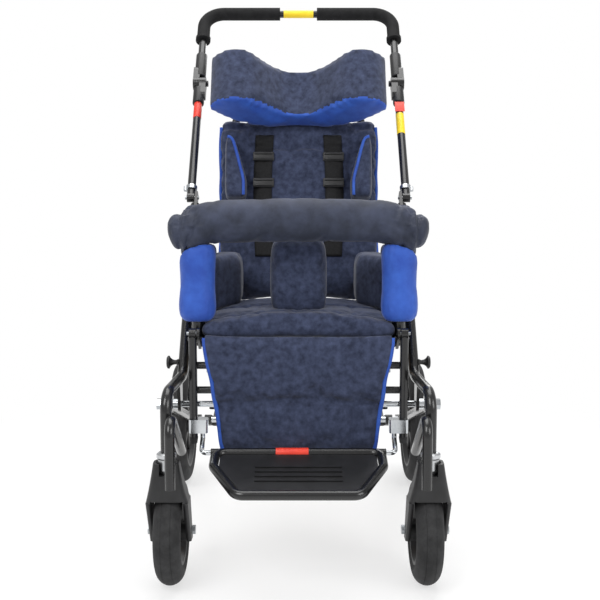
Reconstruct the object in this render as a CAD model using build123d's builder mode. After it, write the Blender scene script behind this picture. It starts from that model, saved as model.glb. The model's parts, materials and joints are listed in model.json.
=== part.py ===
"""Special needs stroller: a tubular push chair with swivel casters, a padded seat unit and a folding handle.

Millimetres. +Z is up, +Y points to the rear and +X is the child's left.
The origin is on the floor, under the middle of the stroller's footprint.
"""

import os
from math import atan2, cos, degrees, radians, sin, tan

from build123d import *

os.makedirs("parts", exist_ok=True)

# Wheels and where they stand
front_axle_y = -338.0
wheelbase = 640.0
front_wheel_d = 200.0
front_tyre_w = 50.0
front_rim_d = 128.0
front_rim_w = 44.0
rear_wheel_d = 300.0
rear_tyre_w = 42.0
rear_rim_d = 226.0
rear_rim_w = 36.0
caster_x = 235.0
rear_wheel_x = 288.0
front_hub_d = 40.0
rear_hub_d = 56.0
rear_hub_w = 44.0
spoke_count = 5
spoke_w = 20.0
tread_groove_w = 2.4
tread_groove_depth = 2.0

# Clearances
running_gap = 0.05
slide_gap = 0.3
seat_gap = 0.3
weld_gap = 0.02

# Chassis tubes
main_tube_d = 20.0
frame_x = 222.0
stem_lead = 60.0
head_top_z = 264.0
run_z = 368.0
knee_y = front_axle_y + 88.0
knee_z = 374.0
fold_y = front_axle_y + 364.0
fold_z = 710.0
bend_r = 34.0
tongue_w = 18.0
tongue_t = 6.0
tongue_x = 217.5
pivot_pin_d = 8.0
tube_end_gap = 20.0
guard_tube_d = 18.0
guard_x = 223.0
guard_front_y = front_axle_y - 105.0
guard_foot_z = 209.0
guard_top_z = 348.0
guard_back_y = front_axle_y + 60.0
guard_back_z = 232.0
guard_bend_r = 24.0
lug_t = 6.0
lug_x = 226.0
lug_r = 15.0
pivot_rod_y = front_axle_y + 100.0
pivot_rod_z = 315.0
pivot_rod_d = 12.0
rail_x = 254.0
rail_tube_d = 20.0
rail_eye_d = 32.0
rail_eye_w = 22.0
axle_d = 14.0
axle_nut_d = 24.0
axle_nut_w = 9.0
cross_tube_lead = 52.0
strut_tube_d = 18.0
strut_foot_lead = 95.0
strut_top_along = -178.0

# Brakes on the rear axle
brake_x = 222.0
brake_w = 16.0
brake_bolt_d = 15.0
brake_bolt_h = 7.0
pedal_arm = 62.0
pedal_w = 14.0
pedal_pad_w = 46.0
pedal_pad_len = 34.0
pedal_pad_t = 9.0
pedal_rise = 16.0

# Casters
head_d = 32.0
head_z = 225.0
stem_d = 12.0
stem_len = 28.0
fork_inner = 58.0
fork_wall = 9.0
fork_top_d = 46.0
fork_ear_z = 246.0
fork_ear_w = 8.0
fork_shoulder_z = 172.0
fork_shoulder_depth = 58.0
fork_foot_depth = 30.0
fork_foot_drop = 16.0
tyre_clearance = 6.0
caster_axle_d = 10.0
bolt_head_d = 17.0
bolt_head_t = 6.0

# Seat frame and its fittings
seat_tube_d = 18.0
seat_tube_x = 178.0
seat_tube_z = 432.0
seat_front_y = front_axle_y + 102.0
seat_depth = 348.0
legrest_pin_y = front_axle_y + 78.0
legrest_pin_z = 456.0
hinge_ear_t = 5.0
hinge_ear_r = 11.0
hinge_pin_d = 8.0
post_x = 194.0
post_y = front_axle_y + 112.0
post_d = 16.0
socket_d = 22.0
socket_top_z = 474.0
socket_depth = 34.0
seat_board_t = 6.0
seat_board_half = 172.0
rod_d = 8.0
rod_y = front_axle_y + 150.0
rod_z = 384.0
knob_d = 25.0
knob_neck_d = 9.0
knob_len = 22.0
knob_along = 18.0

# Backrest
back_pin_y = front_axle_y + 474.0
back_pin_z = 446.0
back_lean = 14.0
back_tube_d = 18.0
back_tube_x = 150.0
back_top = 500.0
back_pad_half = 180.0
back_pad_t = 46.0
back_pad_low = 28.0
back_pad_high = 446.0
back_bracket_t = 5.0

# Headrest, on a stalk that slides in the backrest
headrest_low = 420.0
headrest_h = 130.0
headrest_lean = 27.0
headrest_back = 58.0
headrest_waist = 41.0
headrest_lobe = 128.0
headrest_half = 194.0
neck_up = 526.0
stalk_w = 40.0
stalk_t = 8.0
stalk_len = 180.0
guide_wall = 5.0

# Legrest and footrest
leg_tube_d = 16.0
leg_tube_x = 201.0
leg_tube_low_z = 256.0
leg_cap_d = 17.0
leg_cap_len = 12.0
calf_pad_top_half = 180.0
calf_pad_low_half = 146.0
calf_pad_t = 22.0
calf_pad_top_z = 455.0
calf_seam_z = 318.0
calf_pad_low_z = 206.0
leg_bar_d = 14.0
leg_bar_drops = (64.0, 112.0)
hanger_d = 10.0
clamp_h = 26.0
clamp_w = 36.0
clamp_shift = 3.0
hanger_back = 4.0
hanger_x = 184.0
foot_tube_d = 18.0
foot_half_rear = 157.0
foot_half_front = 110.0
foot_rear_y = front_axle_y + 50.0
foot_rear_z = 232.0
foot_front_y = front_axle_y - 95.0
foot_front_z = 196.0
foot_plate_t = 4.0
foot_corner_r = 22.0
foot_bore_len = 32.0

# Push handle
handle_x = 233.0
handle_tube_d = 18.0
handle_len = 344.0
handle_bar_len = 242.0
handle_corner_r = 48.0
handle_hub_d = 30.0
handle_hub_w = 15.0
handle_sleeve_d = 25.0
grip_d = 31.0
grip_gap = 46.0
button_d = 14.0
button_travel = 4.0
ring_w = 10.0
ring_wall = 3.0
ring_along = 20.0

# Bumper bar, its padding and the pommel
bumper_z = 666.0
bumper_bend_r = 26.0
bolster_d = 80.0
bolster_flat_half = 160.0
bolster_end_half = 244.0
bolster_end_drop = 30.0
sleeve_w = 64.0
sleeve_depth = 58.0
sleeve_low_z = 480.0
pommel_w = 106.0
pommel_depth = 80.0
pommel_front_y = front_axle_y + 156.0
pommel_h = 138.0

# Seat padding
cushion_t = 34.0
cushion_half = 186.0
cushion_crown = 7.0
panel_t = 12.0
panel_low_z = 446.0
panel_high_z = 612.0
hip_t = 62.0
hip_h = 108.0
hip_front_y = front_axle_y + 236.0
hip_back_y = front_axle_y + 402.0
wing_depth = 46.0
wing_outer = 166.0
wing_inner = 118.0
wing_low = 250.0
wing_high = 396.0
strap_x = 79.0
strap_w = 42.0
strap_t = 3.0
strap_low = 120.0
strap_high = 408.0
buckle_ups = (290.0, 352.0)
buckle_h = 30.0
buckle_t = 5.0
arm_pad_d = 46.0
arm_pad_low = -152.0
arm_pad_high = -34.0

sides = ((1, "left"), (-1, "right"))


def bent_tube(points, radius, diameter):
    """A round bar along straight runs that are joined by arcs."""
    with BuildPart() as bar:
        with BuildLine() as path:
            FilletPolyline(*points, radius=radius)
        with BuildSketch(Plane(origin=path.line @ 0, z_dir=path.line % 0)):
            Circle(diameter / 2)
        sweep(path=path.line)
    return bar.part


def straight_bar(start, end, diameter):
    """A round bar from one point to another."""
    run = Vector(*end) - Vector(*start)
    with BuildPart() as bar:
        with BuildSketch(Plane(origin=start, z_dir=run)):
            Circle(diameter / 2)
        extrude(amount=run.length)
    return bar.part


def side_plane(x):
    """A plane square to X whose own axes are the stroller's Y and Z."""
    return Plane(origin=(x, 0, 0), x_dir=(0, 1, 0), z_dir=(1, 0, 0))


def link(start, end, radius):
    """A flat bar's outline in a sketch, round at both ends."""
    run_y = end[0] - start[0]
    run_z = end[1] - start[1]
    with Locations(((start[0] + end[0]) / 2, (start[1] + end[1]) / 2)):
        SlotCenterToCenter((run_y**2 + run_z**2) ** 0.5, 2 * radius, rotation=degrees(atan2(run_z, run_y)))


def finish(part, name):
    """Label a piece and write it to its own file."""
    part.label = name
    export_step(part, f"parts/{name}.step")


def finish_pair(pair, name):
    """Write two matching pieces of one body to one file."""
    with BuildPart() as both:
        for piece in pair:
            add(piece)
    finish(both.part, name)


# Directions along the main tube and along the backrest, as (y, z)
main_angle = atan2(fold_z - knee_z, fold_y - knee_y)
main_y = cos(main_angle)
main_z = sin(main_angle)
lean = radians(back_lean)


def on_main(x, along, away=0.0):
    """A point beside the main tube's line, measured up from the fold pivot and square to it."""
    y = fold_y + along * main_y - away * main_z
    z = fold_z + along * main_z + away * main_y
    return (x, y, z)


def on_back(x, up, forward=0.0):
    """A point on the backrest: across, up its slope from the hinge, and forward of its tubes."""
    y = back_pin_y + up * sin(lean) - forward * cos(lean)
    z = back_pin_z + up * cos(lean) + forward * sin(lean)
    return (x, y, z)


def back_section(up):
    """A plane across the backrest whose own axes are X and forward."""
    origin = on_back(0, up)
    return Plane(origin=origin, x_dir=(-1, 0, 0), z_dir=(0, sin(lean), cos(lean)))


front_axle_z = front_wheel_d / 2
rear_axle_y = front_axle_y + wheelbase
rear_axle_z = rear_wheel_d / 2
stem_y = front_axle_y - stem_lead

# Side frames: caster post, main tube, caster guard, lug and folding tongue, welded in one piece
for side, word in sides:
    post = (side * caster_x, stem_y, head_top_z)
    shoulder = (side * caster_x, stem_y, run_z)
    knee = (side * frame_x, knee_y, knee_z)
    main_tube = bent_tube((post, shoulder, knee, on_main(side * frame_x, -tube_end_gap)), bend_r, main_tube_d)
    guard_foot = (side * guard_x, guard_front_y, guard_foot_z)
    guard_top = (side * guard_x, guard_front_y, guard_top_z)
    guard_back = (side * guard_x, guard_back_y, guard_back_z)
    guard = bent_tube((guard_foot, guard_top, guard_back), guard_bend_r, guard_tube_d)
    with BuildPart() as side_frame:
        add(main_tube)
        add(guard)
        with BuildSketch(side_plane(side * lug_x)):
            with BuildLine():
                Polyline((knee_y - lug_r, run_z), (pivot_rod_y - lug_r, pivot_rod_z))
                RadiusArc((pivot_rod_y - lug_r, pivot_rod_z), (pivot_rod_y + lug_r, pivot_rod_z), -lug_r)
                Polyline((pivot_rod_y + lug_r, pivot_rod_z), (knee_y + 2 * lug_r, knee_z + lug_r), (knee_y - lug_r, run_z))
            make_face()
            with Locations((pivot_rod_y, pivot_rod_z)):
                Circle(pivot_rod_d / 2, mode=Mode.SUBTRACT)
        extrude(amount=side * lug_t)
        tongue_plane = Plane(
            origin=(side * tongue_x, fold_y, fold_z), x_dir=(0, main_y, main_z), z_dir=(side, 0, 0)
        )
        with BuildSketch(tongue_plane):
            with Locations((-tube_end_gap - tongue_w / 2, 0)):
                Rectangle(tube_end_gap + tongue_w + 2, tongue_w, align=(Align.MIN, Align.CENTER))
            Circle(pivot_pin_d / 2, mode=Mode.SUBTRACT)
        extrude(amount=tongue_t)
    finish(side_frame.part, f"side_frame_{word}")

# Caster heads: bearing housings with a collar, closed at the foot round the stem
caster_heads = []
for side, word in sides:
    with BuildPart() as caster_head:
        with BuildSketch(Plane(origin=(side * caster_x, stem_y, 0), x_dir=(1, 0, 0), z_dir=(0, -1, 0))):
            with BuildLine():
                Polyline(
                    (stem_d / 2 + running_gap, head_z + stem_len),
                    (0, head_z + stem_len),
                    (0, head_top_z),
                    (head_d / 2 - 2, head_top_z),
                    (head_d / 2 + 1.5, head_top_z - 3),
                    (head_d / 2 + 1.5, head_top_z - 9),
                    (head_d / 2 - 1, head_top_z - 12),
                    (head_d / 2 - 1, head_z + 8),
                    (head_d / 2 - 5, head_z),
                    (stem_d / 2 + running_gap, head_z),
                    (stem_d / 2 + running_gap, head_z + stem_len),
                )
            make_face()
        revolve(axis=Axis((side * caster_x, stem_y, 0), (0, 0, 1)))
    caster_heads.append(caster_head.part)
finish_pair(caster_heads, "caster_heads")

# Caster forks: a bell-shaped crown with two ears, legs that taper to the axle, and the stem
fork_half = fork_inner / 2 + fork_wall
for side, word in sides:
    with BuildPart() as fork:
        with BuildSketch(Plane((side * caster_x, stem_y, fork_ear_z))):
            RectangleRounded(fork_top_d, fork_top_d - 8, 12)
        with BuildSketch(Plane((side * caster_x, stem_y + 4, fork_ear_z - 30))):
            RectangleRounded(fork_top_d + 10, fork_top_d + 2, 14)
        with BuildSketch(Plane((side * caster_x, stem_y + 16, fork_shoulder_z))):
            RectangleRounded(2 * fork_half, fork_shoulder_depth, 14)
        loft()
        for leg in (-1, 1):
            leg_x = side * caster_x + leg * (fork_half - fork_wall / 2)
            with BuildSketch(Plane((leg_x, stem_y + 16, fork_shoulder_z))):
                RectangleRounded(fork_wall, fork_shoulder_depth - 8, 4)
            with BuildSketch(Plane((leg_x, front_axle_y - 4, front_axle_z - fork_foot_drop))):
                RectangleRounded(fork_wall, fork_foot_depth, 4)
            loft()
        with BuildSketch(side_plane(side * caster_x)):
            with Locations((front_axle_y, front_axle_z)):
                Circle(front_wheel_d / 2 + tyre_clearance)
        extrude(amount=fork_inner / 2, both=True, mode=Mode.SUBTRACT)
        with BuildSketch(Plane((side * caster_x, stem_y, head_z - seat_gap))):
            Circle(head_d / 2 + 3)
            Rectangle(head_d + 6 - 2 * fork_ear_w, fork_top_d * 2)
        extrude(amount=fork_ear_z, mode=Mode.SUBTRACT)
        with BuildSketch(Plane((side * caster_x, stem_y, head_z - seat_gap - 4))):
            Circle(stem_d / 2)
        extrude(amount=stem_len + 4 - seat_gap)
        with BuildSketch(side_plane(side * caster_x)):
            with Locations((front_axle_y, front_axle_z)):
                Circle(caster_axle_d / 2)
        extrude(amount=2 * fork_half, both=True, mode=Mode.SUBTRACT)
    finish(fork.part, f"caster_fork_{word}")

# Caster axles: a bolt with a round head at one end and a nut at the other
for side, word in sides:
    with BuildPart() as caster_axle:
        with BuildSketch(side_plane(side * caster_x - fork_half - bolt_head_t)):
            with Locations((front_axle_y, front_axle_z)):
                Circle(bolt_head_d / 2)
        extrude(amount=bolt_head_t)
        with BuildSketch(side_plane(side * caster_x - fork_half)):
            with Locations((front_axle_y, front_axle_z)):
                Circle(caster_axle_d / 2)
        extrude(amount=2 * fork_half)
        with BuildSketch(side_plane(side * caster_x + fork_half)):
            with Locations((front_axle_y, front_axle_z)):
                RegularPolygon(bolt_head_d / 2, 6)
        extrude(amount=bolt_head_t)
    finish(caster_axle.part, f"caster_axle_{word}")


def tyre(x, y, z, diameter, width, bore):
    """A solid tyre with a rounded tread, running grooves and a bead that sits on the rim."""
    outer = diameter / 2
    half = width / 2
    shoulder = outer - 0.4 * width
    with BuildPart() as ring:
        with BuildSketch(Plane(origin=(x, y, z), x_dir=(1, 0, 0), z_dir=(0, -1, 0))):
            with BuildLine():
                Line((-half + 5, bore / 2), (half - 5, bore / 2))
                Line((half - 5, bore / 2), (half, shoulder - 6))
                ThreePointArc((half, shoulder - 6), (0.72 * half, outer - 0.16 * width), (0, outer))
                ThreePointArc((0, outer), (-0.72 * half, outer - 0.16 * width), (-half, shoulder - 6))
                Line((-half, shoulder - 6), (-half + 5, bore / 2))
            make_face()
            for across in (-0.36, 0.36):
                with Locations((across * half, outer)):
                    Rectangle(tread_groove_w, 2 * tread_groove_depth + 0.02 * width, mode=Mode.SUBTRACT)
        revolve(axis=Axis((x, y, z), (1, 0, 0)))
    return ring.part


def rim(x, y, z, diameter, width, bore, hub_d, hub_w):
    """A moulded wheel: a channelled ring, a hub and tapered spokes."""
    with BuildPart() as wheel:
        with BuildSketch(Plane(origin=(x, y, z), x_dir=(1, 0, 0), z_dir=(0, -1, 0))):
            with BuildLine():
                Polyline(
                    (-width / 2, diameter / 2),
                    (width / 2, diameter / 2),
                    (width / 2, diameter / 2 - 6),
                    (width / 4, diameter / 2 - 13),
                    (-width / 4, diameter / 2 - 13),
                    (-width / 2, diameter / 2 - 6),
                    (-width / 2, diameter / 2),
                )
            make_face()
            with Locations((0, (hub_d + bore) / 4)):
                Rectangle(hub_w, (hub_d - bore) / 2)
        revolve(axis=Axis((x, y, z), (1, 0, 0)))
        spoke_low = hub_d / 2 - 2
        spoke_high = diameter / 2 - 11
        for turn in range(spoke_count):
            aim = Plane(origin=(x, y, z), x_dir=(1, 0, 0), z_dir=(0, 0, 1)).rotated((turn * 360 / spoke_count, 0, 0))
            with BuildSketch(aim.offset(spoke_low)):
                RectangleRounded(width * 0.62, spoke_w, 4)
            with BuildSketch(aim.offset(spoke_high)):
                RectangleRounded(width * 0.42, spoke_w * 0.8, 4)
            loft()
    return wheel.part


front_hub_w = fork_inner - 2 * seat_gap
for side, word in sides:
    front_at = (side * caster_x, front_axle_y, front_axle_z)
    rear_at = (side * rear_wheel_x, rear_axle_y, rear_axle_z)
    bore = caster_axle_d + 2 * running_gap
    finish(tyre(*front_at, front_wheel_d, front_tyre_w, front_rim_d), f"front_tyre_{word}")
    finish(rim(*front_at, front_rim_d, front_rim_w, bore, front_hub_d, front_hub_w), f"front_rim_{word}")
    finish(tyre(*rear_at, rear_wheel_d, rear_tyre_w, rear_rim_d), f"rear_tyre_{word}")
    bore = axle_d + 2 * running_gap
    finish(rim(*rear_at, rear_rim_d, rear_rim_w, bore, rear_hub_d, rear_hub_w), f"rear_rim_{word}")

# Lower rails with an eye at each end, and a strut from each rail up to the main tube
strut_foot_y = rear_axle_y - strut_foot_lead
rail_drop = (pivot_rod_z - rear_axle_z) / (rear_axle_y - pivot_rod_y)
strut_foot_z = rear_axle_z + strut_foot_lead * rail_drop
cross_tube_y = rear_axle_y - cross_tube_lead
cross_tube_z = rear_axle_z + cross_tube_lead * rail_drop
rear_struts = []
rear_rails = []
for side, word in sides:
    rail_tube = straight_bar(
        (side * rail_x, pivot_rod_y, pivot_rod_z), (side * rail_x, rear_axle_y, rear_axle_z), rail_tube_d
    )
    strut_top = on_main(side * frame_x, strut_top_along)
    strut = straight_bar((side * rail_x, strut_foot_y, strut_foot_z), strut_top, strut_tube_d)
    main_room = straight_bar(
        on_main(side * frame_x, -handle_len), on_main(side * frame_x, -tube_end_gap), main_tube_d + 2 * weld_gap
    )
    rail_room = straight_bar(
        (side * rail_x, pivot_rod_y, pivot_rod_z), (side * rail_x, rear_axle_y, rear_axle_z), rail_tube_d + 2 * weld_gap
    )
    with BuildPart() as rear_strut:
        add(strut)
        add(rail_room, mode=Mode.SUBTRACT)
        add(main_room, mode=Mode.SUBTRACT)
    rear_struts.append(rear_strut.part)
    with BuildPart() as rear_rail:
        add(rail_tube)
        with BuildSketch(side_plane(side * rail_x)):
            with Locations((pivot_rod_y, pivot_rod_z), (rear_axle_y, rear_axle_z)):
                Circle(rail_eye_d / 2)
        extrude(amount=rail_eye_w / 2, both=True)
        with BuildSketch(side_plane(side * rail_x)):
            with Locations((pivot_rod_y, pivot_rod_z)):
                Circle(pivot_rod_d / 2)
            with Locations((rear_axle_y, rear_axle_z)):
                Circle(axle_d / 2)
        extrude(amount=rail_tube_d, both=True, mode=Mode.SUBTRACT)
    rear_rails.append(rear_rail.part)
finish_pair(rear_struts, "rear_struts")
finish_pair(rear_rails, "rear_rails")

# Cross rod that ties the lugs and rails together, with shoulders between them and nuts outside
rail_outer = rail_x + rail_eye_w / 2
with BuildPart() as pivot_rod:
    with BuildSketch(side_plane(-rail_outer - axle_nut_w)):
        with Locations((pivot_rod_y, pivot_rod_z)):
            Circle(pivot_rod_d / 2)
    extrude(amount=2 * (rail_outer + axle_nut_w))
    for side, word in sides:
        with BuildSketch(side_plane(side * (lug_x + lug_t))):
            with Locations((pivot_rod_y, pivot_rod_z)):
                Circle(pivot_rod_d / 2 + 4)
        extrude(amount=side * (rail_x - rail_eye_w / 2 - lug_x - lug_t))
        with BuildSketch(side_plane(side * rail_outer)):
            with Locations((pivot_rod_y, pivot_rod_z)):
                RegularPolygon(axle_nut_d / 2 - 1, 6)
        extrude(amount=side * axle_nut_w)
finish(pivot_rod.part, "pivot_rod")

# Rear axle with end nuts, and the cross tube ahead of it
axle_end = rear_wheel_x + rear_hub_w / 2 + seat_gap
with BuildPart() as rear_axle:
    with BuildSketch(side_plane(-axle_end)):
        with Locations((rear_axle_y, rear_axle_z)):
            Circle(axle_d / 2)
    extrude(amount=2 * axle_end)
    for side, word in sides:
        with BuildSketch(side_plane(side * axle_end)):
            with Locations((rear_axle_y, rear_axle_z)):
                Circle(axle_nut_d / 2)
        extrude(amount=side * axle_nut_w, taper=20)
finish(rear_axle.part, "rear_axle")

with BuildPart() as rear_cross_tube:
    with BuildSketch(side_plane(-rail_x + rail_tube_d / 2)):
        with Locations((cross_tube_y, cross_tube_z)):
            Circle(axle_d / 2)
    extrude(amount=2 * rail_x - rail_tube_d)
finish(rear_cross_tube.part, "rear_cross_tube")

# Brake brackets join the axle and the cross tube, with two round-headed bolts in each
brake_brackets = []
for side, word in sides:
    with BuildPart() as brake_bracket:
        with BuildSketch(side_plane(side * brake_x - brake_w / 2)):
            link((cross_tube_y, cross_tube_z), (rear_axle_y, rear_axle_z), axle_d / 2 + 5)
            with Locations((cross_tube_y, cross_tube_z), (rear_axle_y, rear_axle_z)):
                Circle(axle_d / 2, mode=Mode.SUBTRACT)
        extrude(amount=brake_w)
        bolt_front = cross_tube_y - axle_d / 2 - 5 + 1
        with BuildSketch(Plane(origin=(side * brake_x, bolt_front, cross_tube_z), z_dir=(0, -1, 0))):
            Circle(brake_bolt_d / 2)
        extrude(amount=brake_bolt_h, taper=12)
    brake_brackets.append(brake_bracket.part)
finish_pair(brake_brackets, "brake_brackets")

# Brake pedals: a collar that turns on the axle, an arm and a ribbed foot pad
for side, word in sides:
    pedal_x = side * (brake_x - brake_w / 2 - seat_gap - pedal_w)
    pedal_out = side * pedal_w
    with BuildPart() as brake_pedal:
        with BuildSketch(side_plane(pedal_x)):
            with Locations((rear_axle_y, rear_axle_z)):
                Circle(axle_d / 2 + 6)
            with BuildLine():
                Polyline(
                    (rear_axle_y, rear_axle_z + axle_d / 2 + 5),
                    (rear_axle_y + pedal_arm, rear_axle_z + pedal_rise + 8),
                    (rear_axle_y + pedal_arm, rear_axle_z + pedal_rise),
                    (rear_axle_y, rear_axle_z - axle_d / 2 - 5),
                    close=True,
                )
            make_face()
            with Locations((rear_axle_y, rear_axle_z)):
                Circle(axle_d / 2 + running_gap, mode=Mode.SUBTRACT)
        extrude(amount=pedal_out)
        pad_at = (pedal_x + pedal_out / 2, rear_axle_y + pedal_arm - 2, rear_axle_z + pedal_rise)
        with BuildSketch(Plane(pad_at)):
            with Locations((0, pedal_pad_len / 2 - 2)):
                RectangleRounded(pedal_pad_w, pedal_pad_len, 7)
        extrude(amount=pedal_pad_t)
        with BuildSketch(Plane((pad_at[0], pad_at[1], pad_at[2] + pedal_pad_t))):
            with GridLocations(0, 9, 1, 3):
                with Locations((0, pedal_pad_len / 2 - 2)):
                    Rectangle(pedal_pad_w - 12, 4)
        extrude(amount=1.5)
    finish(brake_pedal.part, f"brake_pedal_{word}")

# Seat frame: side tubes, cross tubes to the main tubes, hinge ears and sockets for the bumper bar
seat_back_y = seat_front_y + seat_depth
cross_along = (seat_tube_z - fold_z) / main_z
cross_tube_front_y = fold_y + cross_along * main_y
seat_sides = []
sockets = []
main_rooms = []
for side, word in sides:
    seat_sides.append(
        straight_bar((side * seat_tube_x, seat_front_y, seat_tube_z), (side * seat_tube_x, seat_back_y, seat_tube_z), seat_tube_d)
    )
    socket_foot = (side * seat_tube_x, post_y, seat_tube_z)
    socket_knee = (side * post_x, post_y, seat_tube_z + 14)
    sockets.append(
        bent_tube((socket_foot, socket_knee, (side * post_x, post_y, socket_top_z)), 8, socket_d)
    )
    main_rooms.append(
        straight_bar(
            on_main(side * frame_x, cross_along - 60), on_main(side * frame_x, cross_along + 60), main_tube_d + 2 * weld_gap
        )
    )
front_cross = straight_bar(
    (-frame_x, cross_tube_front_y, seat_tube_z), (frame_x, cross_tube_front_y, seat_tube_z), seat_tube_d
)
back_cross = straight_bar((-seat_tube_x, seat_back_y, seat_tube_z), (seat_tube_x, seat_back_y, seat_tube_z), seat_tube_d)
with BuildPart() as seat_frame:
    add(front_cross)
    add(back_cross)
    for piece in seat_sides + sockets:
        add(piece)
    for room in main_rooms:
        add(room, mode=Mode.SUBTRACT)
    for side, word in sides:
        ear_x = side * (leg_tube_x - leg_tube_d / 2 - slide_gap)
        with BuildSketch(side_plane(ear_x)):
            link((legrest_pin_y, legrest_pin_z), (seat_front_y + 8, seat_tube_z), hinge_ear_r)
            with Locations((legrest_pin_y, legrest_pin_z)):
                Circle(hinge_pin_d / 2, mode=Mode.SUBTRACT)
        extrude(amount=-side * hinge_ear_t)
        bracket_x = side * (seat_tube_x - seat_tube_d / 2 + 1)
        with BuildSketch(side_plane(bracket_x)):
            link((back_pin_y, back_pin_z), (seat_back_y - 20, seat_tube_z), hinge_ear_r)
            with Locations((back_pin_y, back_pin_z)):
                Circle(hinge_pin_d / 2, mode=Mode.SUBTRACT)
        extrude(amount=side * hinge_ear_t)
        with BuildSketch(Plane((side * post_x, post_y, socket_top_z))):
            Circle(post_d / 2 + running_gap)
        extrude(amount=-socket_depth, mode=Mode.SUBTRACT)
    keep = seat_frame.part.solids().sort_by(SortBy.VOLUME)[-1]
finish(Part(keep.wrapped), "seat_frame")

# Pins of the legrest, the backrest and the folding handle, as pairs
with BuildPart() as legrest_pins:
    for side, word in sides:
        with BuildSketch(side_plane(side * (leg_tube_x - leg_tube_d / 2 - slide_gap - hinge_ear_t))):
            with Locations((legrest_pin_y, legrest_pin_z)):
                Circle(hinge_pin_d / 2)
        extrude(amount=side * (leg_tube_d + hinge_ear_t + 2 * slide_gap + 3))
finish(legrest_pins.part, "legrest_pins")

back_eye_x = seat_tube_x - seat_tube_d / 2 - seat_gap
with BuildPart() as backrest_pins:
    for side, word in sides:
        with BuildSketch(side_plane(side * (back_eye_x - back_bracket_t - 2))):
            with Locations((back_pin_y, back_pin_z)):
                Circle(hinge_pin_d / 2)
        extrude(amount=side * (back_bracket_t + seat_gap + hinge_ear_t + 4))
finish(backrest_pins.part, "backrest_pins")

with BuildPart() as handle_pins:
    for side, word in sides:
        with BuildSketch(side_plane(side * (tongue_x - 2))):
            with Locations((fold_y, fold_z)):
                Circle(pivot_pin_d / 2)
        extrude(amount=side * (handle_x + handle_tube_d / 2 + 3 - tongue_x + 2))
finish(handle_pins.part, "handle_pins")

# Seat board on the seat tubes, and the cross rod under it
board_low_z = seat_tube_z + seat_tube_d / 2
with BuildPart() as seat_board:
    with BuildSketch(Plane((0, (seat_front_y + seat_back_y) / 2 - 8, board_low_z))):
        RectangleRounded(2 * seat_board_half, seat_depth - 30, 24)
        with GridLocations(180, 120, 2, 2):
            SlotCenterToCenter(50, 14, rotation=90, mode=Mode.SUBTRACT)
    extrude(amount=seat_board_t)
finish(seat_board.part, "seat_board")

with BuildPart() as under_rod:
    with BuildSketch(side_plane(-seat_tube_x - 20)):
        with Locations((rod_y, rod_z)):
            Circle(rod_d / 2)
    extrude(amount=2 * (seat_tube_x + 20))
    for side, word in sides:
        with BuildSketch(Plane((side * seat_tube_x, rod_y, rod_z - 16))):
            Circle(rod_d / 2 + 1)
        extrude(amount=seat_tube_z - seat_tube_d / 2 - rod_z + 16)
finish(under_rod.part, "under_rod")

# Clamp knobs on the main tubes: a waisted grip on a threaded neck
for side, word in sides:
    knob_y = knee_y + knob_along
    knob_z = knee_z + knob_along * main_z / main_y
    with BuildPart() as knob:
        with BuildSketch(Plane(origin=(side * (frame_x + main_tube_d / 2 + seat_gap), knob_y, knob_z), x_dir=(side, 0, 0), z_dir=(0, -1, 0))):
            with BuildLine():
                Polyline((0, 0), (0, knob_neck_d / 2 + 2), (4, knob_neck_d / 2))
                ThreePointArc(
                    (4, knob_neck_d / 2),
                    (0.62 * knob_len, 0.3 * knob_d),
                    (knob_len - 5, knob_d / 2),
                )
                Polyline((knob_len - 5, knob_d / 2), (knob_len - 2, knob_d / 2), (knob_len, knob_d / 2 - 3), (knob_len, 0), (0, 0))
            make_face()
        revolve(axis=Axis((0, knob_y, knob_z), (1, 0, 0)))
    finish(knob.part, f"clamp_knob_{word}")

# Legrest tubes with an eye on the hinge pin and a rubber cap at the foot
legrest_tubes = []
legrest_caps = []
for side, word in sides:
    low = (side * leg_tube_x, legrest_pin_y, leg_tube_low_z)
    tube = straight_bar((side * leg_tube_x, legrest_pin_y, legrest_pin_z), low, leg_tube_d)
    with BuildPart() as legrest_tube:
        add(tube)
        with BuildSketch(side_plane(side * leg_tube_x)):
            with Locations((legrest_pin_y, legrest_pin_z)):
                Circle(leg_tube_d / 2 + 2)
        extrude(amount=leg_tube_d / 2 - 1.5, both=True)
        with BuildSketch(side_plane(side * (leg_tube_x - leg_tube_d))):
            with Locations((legrest_pin_y, legrest_pin_z)):
                Circle(hinge_pin_d / 2 + running_gap)
        extrude(amount=side * 2 * leg_tube_d, mode=Mode.SUBTRACT)
    legrest_tubes.append(legrest_tube.part)
    with BuildPart() as cap:
        with BuildSketch(Plane(low)):
            Circle(leg_cap_d / 2)
        extrude(amount=-leg_cap_len, taper=8)
    legrest_caps.append(cap.part)
finish_pair(legrest_tubes, "legrest_tubes")
finish_pair(legrest_caps, "legrest_caps")

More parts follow.
